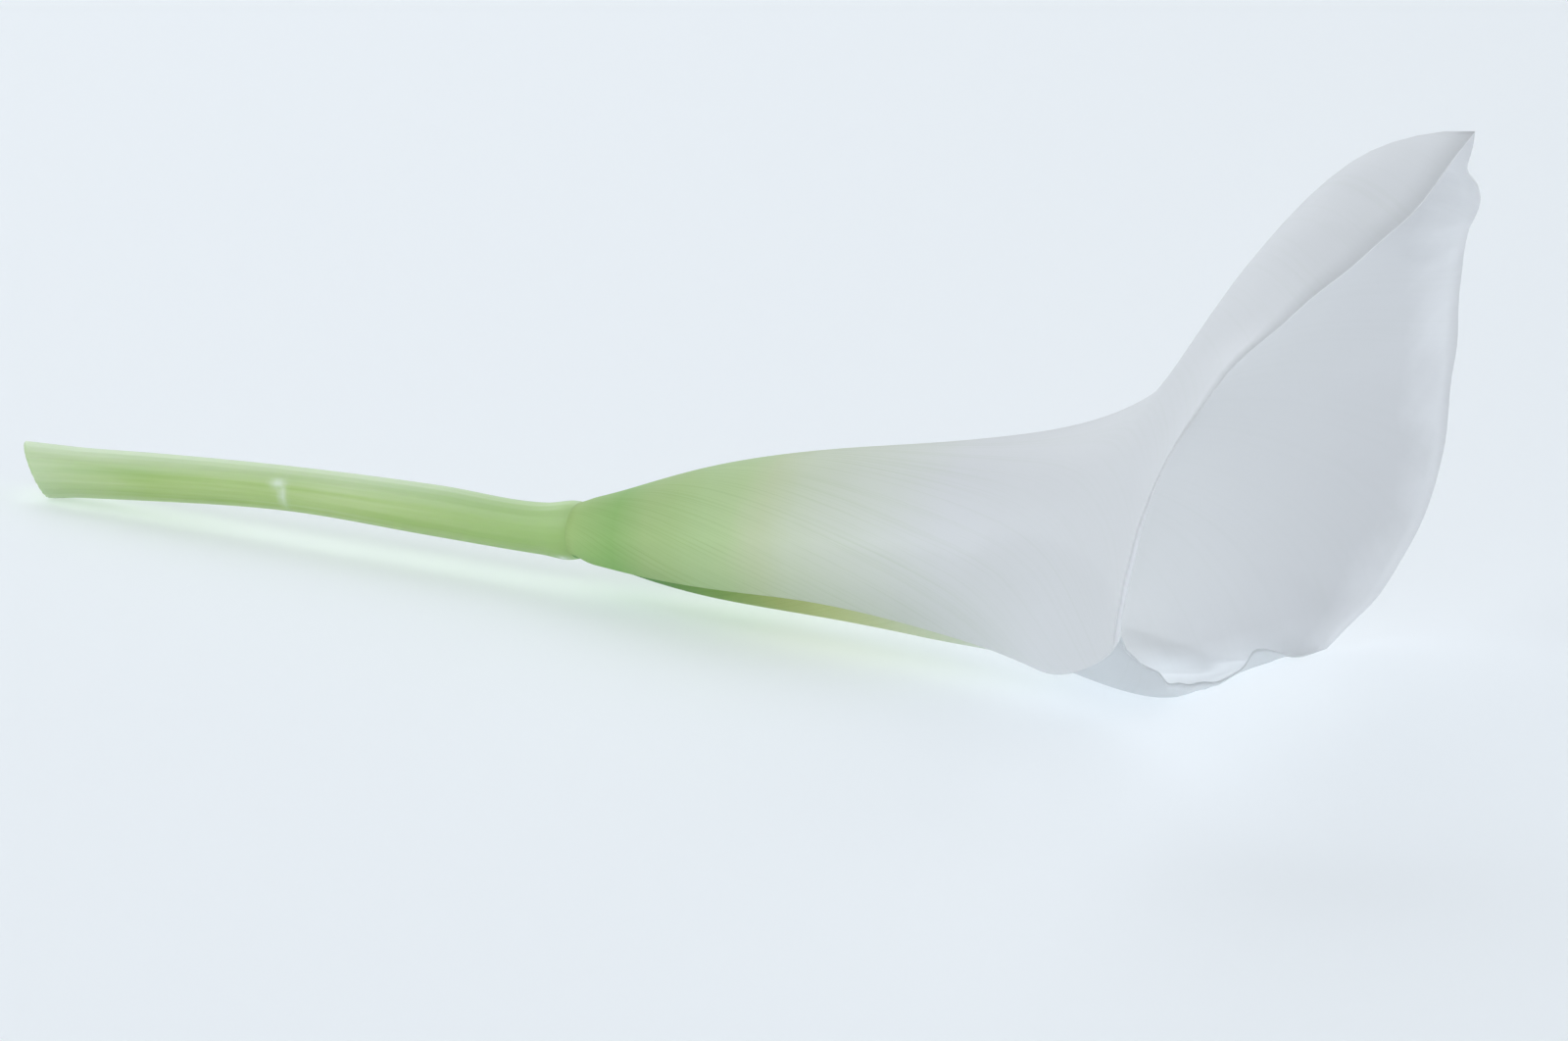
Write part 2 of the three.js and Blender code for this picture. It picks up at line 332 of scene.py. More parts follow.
def linear(hex_colour):
    """An sRGB hex colour as linear red, green, blue and alpha."""
    channels = [int(hex_colour[i:i + 2], 16) / 255 for i in (1, 3, 5)]
    return [c / 12.92 if c <= 0.04045 else ((c + 0.055) / 1.055) ** 2.4 for c in channels] + [1.0]


def per_metre(size):
    """Scale of a pattern whose features lie a size in millimetres apart."""
    return 1 / (size * MM)


def smooth(low, high, value):
    """0 below low, 1 above high, and an even curve between them."""
    share = np.clip((value - low) / (high - low), 0, 1)
    return share * share * (3 - 2 * share)


def add_node(tree, kind, settings=None, links=None):
    """Adds a node. Settings are its own properties, its inputs' values, a ramp's stops, or the
    two ends of a range that it maps. Links are the outputs that feed its inputs."""
    node = tree.nodes.new(kind)
    for name, value in (settings or {}).items():
        if name == "stops":
            elements = node.color_ramp.elements
            while len(elements) < len(value):
                elements.new(0.5)
            for element, (position, colour) in zip(elements, value):
                element.position = position
                element.color = linear(colour) if isinstance(colour, str) else colour
        elif name in ("From", "To"):
            node.inputs[name + " Min"].default_value = value[0]
            node.inputs[name + " Max"].default_value = value[1]
        elif isinstance(name, str) and hasattr(node, name):
            setattr(node, name, value)
        else:
            node.inputs[name].default_value = value
    for name, source in (links or {}).items():
        tree.links.new(source, node.inputs[name])
    return node


def new_material(name):
    """An empty node material with its output."""
    material = bpy.data.materials.new(name)
    material.use_nodes = True
    material.node_tree.nodes.clear()
    output = add_node(material.node_tree, "ShaderNodeOutputMaterial")
    return material, material.node_tree, output


def ring_weights(place):
    """Weights of the rings at places from 0 at the neck to 1 at the rim: an even B-spline that
    starts on the first ring and ends on the last."""
    spans = len(RINGS) - SPLINE_DEGREE
    knots = np.arange(len(RINGS) + SPLINE_DEGREE + 1) - SPLINE_DEGREE
    knots = np.clip(knots / spans, 0, 1)
    inside = np.clip(place, 0, np.nextafter(1, 0))
    weights = [((knots[i] <= inside) & (inside < knots[i + 1])).astype(float)
               for i in range(len(knots) - 1)]
    for order in range(1, SPLINE_DEGREE + 1):
        raised = []
        for i in range(len(weights) - 1):
            total = 0
            if knots[i + order] > knots[i]:
                total = total + weights[i] * (inside - knots[i]) / (knots[i + order] - knots[i])
            if knots[i + order + 1] > knots[i + 1]:
                share = (knots[i + order + 1] - inside) / (knots[i + order + 1] - knots[i + 1])
                total = total + weights[i + 1] * share
            raised.append(total)
        weights = raised
    return weights


def around_ring(value, angle):
    """A ring's value at an angle from the midrib."""
    if not isinstance(value, tuple):
        return value
    above, side, below = value
    cosine = np.cos(angle)
    return side + (np.where(cosine > 0, above, below) - side) * cosine ** 2


def wrap_angle(place, side):
    """Angle from the midrib, in radians. side runs from -1 on the far margin to 1 on the near."""
    near = NEAR_TUBE + (NEAR_DIP - NEAR_TUBE) * smooth(*NEAR_DIPS, place)
    near = near + (NEAR_RIM - NEAR_DIP) * smooth(*NEAR_OPENS, place)
    far = FAR_NECK + (FAR_TUBE - FAR_NECK) * smooth(*FAR_GROWS, place)
    far = far + (FAR_RIM - FAR_TUBE) * smooth(*FAR_OPENS, place)
    return np.radians(side * np.where(side > 0, near, far))


def spathe_point(place, side):
    """Points in the middle of the spathe's wall, in metres, as arrays of X, Y and Z."""
    angle = wrap_angle(place, side)
    degrees = np.degrees(angle)
    cut = FAR_CUT * smooth(*FAR_CUT_SPAN, -degrees) * smooth(*FAR_CUT_FROM, place)
    tip = np.exp(-np.abs(degrees) / TIP_WIDTH)
    tip_behind = TIP_SHARE_BEHIND * np.exp(-np.hypot(degrees, TIP_ROUNDING) / TIP_WIDTH)
    drawn_out = [0] * (len(RINGS) - 2) + [tip_behind, tip]
    along = 0
    radius = 0
    height = 0
    for ring, weight, share in zip(RINGS, ring_weights(place * (1 - cut)), drawn_out):
        along = along + weight * (around_ring(ring["along"], angle) + TIP_FORWARD * share)
        radius = radius + weight * (around_ring(ring["radius"], angle) + TIP_UP * share)
        height = height + weight * ring["height"]
    for fold in FOLDS:
        crest = np.exp(-((-degrees - fold["at"]) / fold["width"]) ** 2)
        rise = smooth(fold["start"], 1, place)
        behind = smooth(fold["start"] - FOLD_DEPTH, fold["start"], place) * (1 - rise)
        radius = radius - crest * (fold["in"] * rise + fold["behind"] * behind)
        along = along - crest * fold["back"] * rise
    along = along - CORNER_BACK * smooth(*CORNER_SPAN, degrees) * smooth(*CORNER_FROM, place)
    ripple = np.sin(RIPPLE_WAVES * angle)
    ripple = ripple + np.sin(RIPPLE_SLOWER * RIPPLE_WAVES * angle + RIPPLE_SHIFT)
    radius = radius + RIPPLE_HEIGHT * ripple * smooth(RIPPLE_FROM, 1, place) ** 2
    parting = smooth(*NEAR_PARTS, degrees) - smooth(*FAR_PARTS, -degrees)
    radius = radius + LAYER_PARTING * parting * smooth(0, LAYER_PARTS_BY, place)
    x = NECK_X + MM * along
    y = MIDDLE_Y - MM * radius * np.sin(angle)
    z = MM * (height + radius * np.cos(angle))
    return x, y, z


def wall_thickness(settings, place):
    """Thickness of the spathe from its neck to its rim."""
    wall = settings.wall_neck + (settings.wall_rim - settings.wall_neck) * place
    return wall * (NECK_THINNED + (1 - NECK_THINNED) * smooth(0, NECK_FULL_BY, place))


def curve_value(places, values, at):
    """A smooth line through a few stations: a cubic with even slopes."""
    at = float(np.clip(at, places[0], places[-1]))
    i = int(np.clip(np.searchsorted(places, at) - 1, 0, len(places) - 2))
    slopes = np.gradient(values, places)
    span = places[i + 1] - places[i]
    t = (at - places[i]) / span
    first = (2 * t ** 3 - 3 * t ** 2 + 1) * values[i] + (t ** 3 - 2 * t ** 2 + t) * span * slopes[i]
    last = (3 * t ** 2 - 2 * t ** 3) * values[i + 1] + (t ** 3 - t ** 2) * span * slopes[i + 1]
    return float(first + last)


def scar_strength(along, angle, radius):
    """How pale the scars make the stalk's skin at a place along it and an angle round it."""
    strongest = 0
    for scar in SCARS:
        turn = math.remainder(math.radians(scar["angle"]) - angle, 2 * math.pi)
        off = math.hypot((along - scar["along"]) / scar["long"], radius * turn / scar["wide"])
        strongest = max(strongest, scar["strength"] * math.exp(-off ** 2))
    return strongest


def spadix_centre(share):
    """Place along X and height of the club's middle at a share of its length, in metres."""
    foot = SPADIX_LOW.z + SPADIX_FOOT_HEIGHT * MM
    end = SPADIX_HIGH.z - SPADIX_END_DEPTH * MM - SPADIX_RADIUS * MM
    return SPADIX_LOW.x + share * SPADIX_LENGTH, foot + (end - foot) * share


def spadix_radius(share):
    """Radius of the club at a share of its length, in metres: narrow at its foot, full along
    its middle, rounded at its end."""
    fullness = float(smooth(0, SPADIX_FULL_BY, share))
    swell = SPADIX_FOOT_RADIUS + (SPADIX_RADIUS - SPADIX_FOOT_RADIUS) * fullness
    taper = math.sqrt(1 - SPADIX_TAPER * float(smooth(SPADIX_TAPERS_FROM, 1, share)) ** 2)
    past = max((share - (1 - SPADIX_NOSE)) / SPADIX_NOSE, 0)
    nose = math.sqrt(max(1 - past ** 2, 0))
    return MM * swell * taper * nose


def sort_faces(bm):
    """Puts the faces in a fixed order, because extruding adds them in one that changes from run
    to run."""
    centres = {face: [round(value / MM, ORDER_DIGITS) for value in face.calc_center_median()]
               for face in bm.faces}
    ranks = {face: rank for rank, face in enumerate(sorted(centres, key=centres.get))}
    bm.faces.sort(key=lambda face: ranks[face])


def grow(bm, segments, rings):
    """Grows a closed round body along X: a capped circle whose cap is extruded from ring to
    ring. Each ring is its place along X, the height of its centre and its radius, in metres."""
    made = bmesh.ops.create_circle(bm, cap_ends=True, segments=segments, radius=1.0)
    bmesh.ops.rotate(bm, verts=made["verts"], matrix=Matrix.Rotation(math.pi / 2, 3, "Y"))
    cap = made["verts"][0].link_faces[0]
    previous = Matrix.Identity(4)
    for i, (along, height, radius) in enumerate(rings):
        here = Matrix.Translation((along, MIDDLE_Y, height)) @ Matrix.Diagonal((1, radius, radius, 1))
        if i > 0:
            grown = bmesh.ops.extrude_face_region(bm, geom=[cap])
            # The first cap stays as the end of the body, and the later ones would lie inside it
            if i > 1:
                bmesh.ops.delete(bm, geom=[cap], context="FACES_ONLY")
            cap = [item for item in grown["geom"] if isinstance(item, bmesh.types.BMFace)][0]
        bmesh.ops.transform(bm, verts=list(cap.verts), matrix=here @ previous.inverted())
        previous = here
    bmesh.ops.recalc_face_normals(bm, faces=bm.faces)
    bm.normal_update()
    sort_faces(bm)


def finish_piece(bm, name, materials, node):
    """Makes the object of a piece, shades it smooth, puts it on the body and hides the part it stands
    for.
    """
    if not bm.faces:
        raise RuntimeError(name + " has no surface")
    mesh = bpy.data.meshes.new(name)
    bm.to_mesh(mesh)
    bm.free()
    for material in materials:
        mesh.materials.append(material)
    mesh.shade_smooth()
    piece = bpy.data.objects.new(name, mesh)
    bpy.context.scene.collection.objects.link(piece)
    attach(piece, BODY)
    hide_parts(node)
    return piece


def direction(azimuth, elevation):
    """A unit vector from the flower. Azimuth 0 is in front of its near side, and grows towards
    the mouth; both angles are in degrees."""
    azimuth = math.radians(azimuth)
    elevation = math.radians(elevation)
    return Vector((math.sin(azimuth) * math.cos(elevation),
                   -math.cos(azimuth) * math.cos(elevation), math.sin(elevation)))


def place_looking(data, location, aim):
    """Puts a lamp or a camera at a place, turned towards its aim."""
    item = bpy.data.objects.new(data.name, data)
    item.location = location
    item.rotation_euler = aim.to_track_quat("-Z", "Y").to_euler()
    bpy.context.scene.collection.objects.link(item)
    return item


def petal_material(name, colours, lapped_light_and_shade, vein_colour, vein_depth):
    """Living petal tissue of a calla: a thin, watery, pale skin with fine veins. It gives the eye
    a soft satin white that light passes into, turning green towards the neck. The layer that
    laps inside keeps its own colours where it comes out from under the other, with painted shade
    on its outside and painted light on its inside. Painted shade darkens the lower sides of the
    tube, and a painted highlight lies along the rim."""
    material, tree, output = new_material(name)
    blade = add_node(tree, "ShaderNodeUVMap", {"uv_map": "blade"})
    split = add_node(tree, "ShaderNodeSeparateXYZ", links={0: blade.outputs[0]})
    place = split.outputs[0]
    round_share = split.outputs[1]
    objects = add_node(tree, "ShaderNodeTexCoord")

    # Colour along the petal, drifting in soft clouds
    cloud = add_node(tree, "ShaderNodeTexNoise", {"Scale": per_metre(CLOUD_SIZE), "Detail": 4.0},
                     {"Vector": objects.outputs["Object"]})
    shifted = add_node(tree, "ShaderNodeMath", {"operation": "MULTIPLY_ADD", 1: CLOUD_DRIFT},
                       {0: cloud.outputs["Fac"], 2: place})
    centred = add_node(tree, "ShaderNodeMath", {"operation": "SUBTRACT", 1: CLOUD_DRIFT / 2},
                       {0: shifted.outputs[0]})
    upper = add_node(tree, "ShaderNodeValToRGB", {"stops": colours}, {0: centred.outputs[0]})
    lapped = add_node(tree, "ShaderNodeValToRGB", {"stops": lapped_light_and_shade},
                      {0: centred.outputs[0]})
    spread = add_node(tree, "ShaderNodeMapRange",
                      {"From": LAPPED_SPREADS, "To": (0, LAPPED_SPREAD)}, {"Value": place})
    lowness = add_node(tree, "ShaderNodeMath", {"operation": "ADD"},
                       {0: round_share, 1: spread.outputs[0]})
    under = add_node(tree, "ShaderNodeMapRange", {"From": LAPPED_ROUND},
                     {"Value": lowness.outputs[0]})
    skin_colour = add_node(tree, "ShaderNodeMix", {"data_type": "RGBA"},
                           {0: under.outputs[0], 6: upper.outputs[0], 7: lapped.outputs[0]})

    # Veins leave the midrib and sweep round to the margins, and fade where the petal is white
    sweep = add_node(tree, "ShaderNodeMath", {"operation": "POWER", 1: VEIN_CURVE},
                     {0: round_share})
    rise = add_node(tree, "ShaderNodeMath", {"operation": "MULTIPLY_ADD", 1: -VEIN_SLANT},
                    {0: sweep.outputs[0], 2: place})
    across = add_node(tree, "ShaderNodeMath", {"operation": "MULTIPLY", 1: VEINS_ACROSS},
                      {0: rise.outputs[0]})
    lengthwise = add_node(tree, "ShaderNodeMath", {"operation": "MULTIPLY", 1: VEIN_WAVER},
                          {0: place})
    vein_place = add_node(tree, "ShaderNodeCombineXYZ",
                          links={0: across.outputs[0], 1: lengthwise.outputs[0]})
    veins = add_node(tree, "ShaderNodeTexNoise", {"Scale": 1.0, "Detail": 3.0, "Roughness": 0.65},
                     {"Vector": vein_place.outputs[0]})
    vein_tone = add_node(tree, "ShaderNodeMapRange", {"From": VEIN_TONES},
                         {"Value": veins.outputs["Fac"]})
    paling = add_node(tree, "ShaderNodeMapRange", {"From": VEINS_PALE, "To": (1, VEIN_LEFT)},
                      {"Value": place})
    vein_share = add_node(tree, "ShaderNodeMath", {"operation": "MULTIPLY"},
                          {0: vein_tone.outputs[0], 1: paling.outputs[0]})
    veined = add_node(tree, "ShaderNodeMix",
                      {"data_type": "RGBA", "blend_type": "MULTIPLY", 7: linear(vein_colour)},
                      {0: vein_share.outputs[0], 6: skin_colour.outputs[2]})

    # Painted shade darkens the lower sides of the tube, fading out before the bell
    lower_side = add_node(tree, "ShaderNodeMapRange", {"From": SIDES_ROUND},
                          {"Value": round_share})
    in_tube = add_node(tree, "ShaderNodeMapRange", {"From": TUBE_ENDS, "To": (1, 0)},
                       {"Value": place})
    lower_shade_share = add_node(tree, "ShaderNodeMath", {"operation": "MULTIPLY"},
                      {0: lower_side.outputs[0], 1: in_tube.outputs[0]})
    shade = add_node(tree, "ShaderNodeValToRGB", {"stops": LOWER_SIDES_PAINTED_SHADE}, {0: place})
    lower_shaded_colour = add_node(tree, "ShaderNodeMix", {"data_type": "RGBA", "blend_type": "MULTIPLY"},
                       {0: lower_shade_share.outputs[0], 6: veined.outputs[2], 7: shade.outputs[0]})

    # Veins and cells stand out a little, and the veins are less shiny
    cells = add_node(tree, "ShaderNodeTexNoise", {"Scale": per_metre(PETAL_CELL), "Detail": 2.0},
                     {"Vector": objects.outputs["Object"]})
    relief = add_node(tree, "ShaderNodeMath", {"operation": "MULTIPLY_ADD", 1: PETAL_CELL_RELIEF},
                      {0: cells.outputs["Fac"], 2: veins.outputs["Fac"]})
    bump = add_node(tree, "ShaderNodeBump", {"Strength": 0.4, "Distance": vein_depth * MM},
                    {"Height": relief.outputs[0]})
    shine = add_node(tree, "ShaderNodeMapRange", {"To": PETAL_ROUGHNESS},
                     {"Value": veins.outputs["Fac"]})
    skin = add_node(tree, "ShaderNodeBsdfPrincipled",
                    {"IOR": 1.4, "Specular IOR Level": 0.3, "Sheen Weight": 0.08,
                     "Sheen Roughness": 0.5},
                    {"Base Color": lower_shaded_colour.outputs[2], "Roughness": shine.outputs[0],
                     "Normal": bump.outputs[0]})
    through = add_node(tree, "ShaderNodeBsdfTranslucent",
                       links={"Color": lower_shaded_colour.outputs[2], "Normal": bump.outputs[0]})
    thin = add_node(tree, "ShaderNodeMixShader", {0: PETAL_LETS_THROUGH},
                    {1: skin.outputs[0], 2: through.outputs[0]})
    tree.links.new(thin.outputs[0], output.inputs[0])
    return material


def stalk_material():
    """Waxy green skin of a calla stalk, grown with fine lengthwise fibres. It gives the eye a
    smooth satin green with lighter and darker streaks along it, a painted sheen on its upper
    side, a paler tone towards its cut end, and an even green towards the flower. It reads the
    stalk as if it were straight."""
    material, tree, output = new_material("calla_stalk_skin")
    straight = add_node(tree, "ShaderNodeAttribute", {"attribute_name": "straight"})
    split = add_node(tree, "ShaderNodeSeparateXYZ", links={0: straight.outputs["Vector"]})
    along = split.outputs[0]
    height = split.outputs[1]

    # Streaks of green: fine fibres over wider patches
    fibre_scale = (per_metre(FIBRE_LENGTH), per_metre(FIBRE_WIDTH), per_metre(FIBRE_WIDTH))
    stretch = add_node(tree, "ShaderNodeMapping", {"Scale": fibre_scale},
                       {"Vector": straight.outputs["Vector"]})
    fibres = add_node(tree, "ShaderNodeTexNoise", {"Scale": 1.0, "Detail": 3.0, "Roughness": 0.55},
                      {"Vector": stretch.outputs[0]})
    patch_scale = (per_metre(PATCH_LENGTH), per_metre(PATCH_WIDTH), per_metre(PATCH_WIDTH))
    wide = add_node(tree, "ShaderNodeMapping", {"Scale": patch_scale},
                    {"Vector": straight.outputs["Vector"]})
    patches = add_node(tree, "ShaderNodeTexNoise", {"Scale": 1.0, "Detail": 2.0},
                       {"Vector": wide.outputs[0]})
    quiet = add_node(tree, "ShaderNodeMath", {"operation": "MULTIPLY", 1: 1 - FIBRE_SHARE},
                     {0: patches.outputs["Fac"]})
    tone = add_node(tree, "ShaderNodeMath", {"operation": "MULTIPLY_ADD", 1: FIBRE_SHARE},
                    {0: fibres.outputs["Fac"], 2: quiet.outputs[0]})
    ramp = add_node(tree, "ShaderNodeValToRGB", {"stops": STALK_GREENS}, {0: tone.outputs[0]})

    # Painted sheen on the upper side and a paler tone towards the cut end, then the even green of the
    # youngest stretch, then the scars
    upper = add_node(tree, "ShaderNodeMapRange",
                     {"From": [MM * end for end in SHEEN_HEIGHTS], "To": (0, SHEEN_ABOVE)},
                     {"Value": height})
    old = add_node(tree, "ShaderNodeMapRange",
                   {"From": [MM * end for end in PALE_FROM_CUT], "To": (0, PALE_AT_CUT)},
                   {"Value": along})
    sheen_and_pale = add_node(tree, "ShaderNodeMath", {"operation": "MAXIMUM"},
                     {0: upper.outputs[0], 1: old.outputs[0]})
    sheened = add_node(tree, "ShaderNodeMix", {"data_type": "RGBA", 7: linear(SHEEN_AND_PALE_END)},
                     {0: sheen_and_pale.outputs[0], 6: ramp.outputs[0]})
    young = add_node(tree, "ShaderNodeMapRange",
                     {"interpolation_type": "SMOOTHSTEP",
                      "From": [MM * end for end in YOUNG_SPAN], "To": (0, YOUNG_SHARE)},
                     {"Value": along})
    grown = add_node(tree, "ShaderNodeMix", {"data_type": "RGBA", 7: linear(YOUNG_GREEN)},
                     {0: young.outputs[0], 6: sheened.outputs[2]})
    pale = add_node(tree, "ShaderNodeAttribute", {"attribute_name": "pale"})
    healed = add_node(tree, "ShaderNodeMix", {"data_type": "RGBA", 7: linear(HEALED)},
                      {0: pale.outputs["Fac"], 6: grown.outputs[2]})
    bump = add_node(tree, "ShaderNodeBump", {"Strength": 0.25, "Distance": FIBRE_DEPTH * MM},
                    {"Height": fibres.outputs["Fac"]})
    skin = add_node(tree, "ShaderNodeBsdfPrincipled",
                    {"Roughness": 0.42, "IOR": 1.45, "Subsurface Weight": 0.25,
                     "Subsurface Radius": (0.7, 1.0, 0.4), "Subsurface Scale": 2 * MM},
                    {"Base Color": healed.outputs[2], "Normal": bump.outputs[0]})
    tree.links.new(skin.outputs[0], output.inputs[0])
    return material


def cut_material():
    """Fresh cut through a calla stalk, sliced with a knife. It gives the eye a moist, pale,
    spongy face full of tiny air channels."""
    material, tree, output = new_material("calla_cut_tissue")
    objects = add_node(tree, "ShaderNodeTexCoord")
    channels = add_node(tree, "ShaderNodeTexVoronoi", {"Scale": per_metre(AIR_CHANNEL)},
                        {"Vector": objects.outputs["Object"]})
    ramp = add_node(tree, "ShaderNodeValToRGB", {"stops": CUT_COLOURS},
                    {0: channels.outputs["Distance"]})
    bump = add_node(tree, "ShaderNodeBump", {"Strength": 0.6, "Distance": CHANNEL_DEPTH * MM},
                    {"Height": channels.outputs["Distance"]})
    skin = add_node(tree, "ShaderNodeBsdfPrincipled",
                    {"Roughness": 0.4, "IOR": 1.38, "Subsurface Weight": 0.3,
                     "Subsurface Scale": 1 * MM},
                    {"Base Color": ramp.outputs[0], "Normal": bump.outputs[0]})
    tree.links.new(skin.outputs[0], output.inputs[0])
    return material


def floret_material():
    """Pollen-dusted florets of a spadix, each a tiny grown bead. It gives the eye a matt, warm
    yellow that varies from bead to bead, and is greener at the foot."""
    material, tree, output = new_material("calla_florets")
    tint = add_node(tree, "ShaderNodeAttribute", {"attribute_name": "tint"})
    ramp = add_node(tree, "ShaderNodeValToRGB", {"stops": FLORET_COLOURS},
                    {0: tint.outputs["Fac"]})
    objects = add_node(tree, "ShaderNodeTexCoord")
    pollen = add_node(tree, "ShaderNodeTexNoise",
                      {"Scale": per_metre(POLLEN_CLUMP), "Detail": 2.0},
                      {"Vector": objects.outputs["Object"]})
    bump = add_node(tree, "ShaderNodeBump", {"Strength": 0.6, "Distance": POLLEN_DEPTH * MM},
                    {"Height": pollen.outputs["Fac"]})
    skin = add_node(tree, "ShaderNodeBsdfPrincipled",
                    {"Roughness": 0.8, "Subsurface Weight": 0.15, "Subsurface Scale": 0.8 * MM},
                    {"Base Color": ramp.outputs[0], "Normal": bump.outputs[0]})
    tree.links.new(skin.outputs[0], output.inputs[0])
    return material


def table_material(colour):
    """Matt melamine table top, pressed smooth. It gives the eye an even, cool, pale ground with
    a faint grain."""
    material, tree, output = new_material("matt_melamine_table")
    objects = add_node(tree, "ShaderNodeTexCoord")
    grain = add_node(tree, "ShaderNodeTexNoise",
                     {"Scale": per_metre(FLOOR_GRAIN), "Detail": 3.0},
                     {"Vector": objects.outputs["Object"]})
    bump = add_node(tree, "ShaderNodeBump", {"Strength": 0.1, "Distance": FLOOR_GRAIN_DEPTH * MM},
                    {"Height": grain.outputs["Fac"]})
    skin = add_node(tree, "ShaderNodeBsdfPrincipled",
                    {"Base Color": colour, "Roughness": 0.6, "Specular IOR Level": 0.25},
                    {"Normal": bump.outputs[0]})
    tree.links.new(skin.outputs[0], output.inputs[0])
    return material


class SpatheSettings(bpy.types.PropertyGroup):
    """Sizes and colours of the spathe."""

    wall_neck: FloatProperty(name="Wall at neck", description="Thickness of the spathe at its neck",
                             default=0.9 * MM, unit="LENGTH", subtype="DISTANCE")
    wall_rim: FloatProperty(name="Wall at rim", description="Thickness of the spathe at its rim",
                            default=0.3 * MM, unit="LENGTH", subtype="DISTANCE")
    white: FloatVectorProperty(name="White", description="Colour of the bell", size=4, min=0, max=1,
                               default=linear("#DBDCDD"), subtype="COLOR")


class StalkSettings(bpy.types.PropertyGroup):
    """Sizes of the stalk."""

    rib_height: FloatProperty(name="Rib height", description="Height of the fine lengthwise ribs",
                              default=0.05 * MM, unit="LENGTH", subtype="DISTANCE")
    rib_count: IntProperty(name="Ribs", description="Number of fine lengthwise ribs", default=22)


class SpadixSettings(bpy.types.PropertyGroup):
    """Sizes of the spadix."""

    floret: FloatProperty(name="Floret", description="Width of one floret",
                          default=1.15 * MM, unit="LENGTH", subtype="DISTANCE")
    seed: IntProperty(name="Seed", description="Seed of the florets' small differences", default=7)


class StageSettings(bpy.types.PropertyGroup):
    """Floor, light and camera."""

    floor: FloatVectorProperty(name="Floor", description="Colour of the floor", size=4, min=0, max=1,
                               default=linear("#F0F3F5"), subtype="COLOR")
    sky: FloatProperty(name="Sky", description="Strength of the soft light all round", default=0.09)
    fill: FloatProperty(name="Fill", description="Strength of the even lights round the flower",
                        default=1.27)
    key: FloatProperty(name="Key", description="Power of the large light above and behind",
                       default=0.65, unit="POWER")
    distance: FloatProperty(name="Distance", description="From the camera to the flower",
                            default=0.9, unit="LENGTH", subtype="DISTANCE")
    lens: FloatProperty(name="Lens", description="Focal length of the camera in millimetres",
                        default=119.1, unit="CAMERA")


class CALLA_OT_stage(bpy.types.Operator):
    """Makes the pale floor, the soft light and the camera"""

    bl_idname = "calla.stage"
    bl_label = "Stage"

    def execute(self, context):
        scene = context.scene
        settings = scene.calla_stage
        scene.view_settings.view_transform = "Standard"

        bm = bmesh.new()
        bmesh.ops.create_circle(bm, cap_ends=True, segments=FLOOR_SEGMENTS, radius=FLOOR_RADIUS)
        mesh = bpy.data.meshes.new("floor")
        bm.to_mesh(mesh)
        bm.free()
        floor = bpy.data.objects.new("floor", mesh)
        scene.collection.objects.link(floor)
        mesh.materials.append(table_material(settings.floor))

        world = bpy.data.worlds.new("soft_sky")
        world.use_nodes = True
        background = world.node_tree.nodes["Background"]
        background.inputs["Color"].default_value = linear(SKY_COLOUR)
        background.inputs["Strength"].default_value = settings.sky
        scene.world = world

        # Four wide lights that cast no shadow, as inside a light tent
        for azimuth, share in FILLS:
            towards = direction(azimuth, FILL_ELEVATION)
            lamp = bpy.data.lights.new("tent_light", "SUN")
            lamp.energy = settings.fill * share
            lamp.angle = math.radians(FILL_SPREAD)
            lamp.color = linear(FILL_COLOUR)[:3]
            lamp.use_shadow = False
            place_looking(lamp, towards, -towards)

        # The one light that shades the floor
        lamp = bpy.data.lights.new("soft_key", "AREA")
        lamp.shape = "DISK"
        lamp.size = KEY_SIZE
        lamp.energy = settings.key
        lamp.color = linear(KEY_COLOUR)[:3]
        place_looking(lamp, Vector(KEY_PLACE), -Vector(KEY_PLACE))

        towards = direction(CAMERA_AZIMUTH, CAMERA_ELEVATION)
        target = Vector((NECK_X, MIDDLE_Y, 0)) + MM * Vector(CAMERA_TARGET)
        camera = bpy.data.cameras.new("camera")
        camera.lens = settings.lens
        camera.clip_start = CAMERA_CLIP
        scene.camera = place_looking(camera, target + settings.distance * towards, -towards)
        return {"FINISHED"}


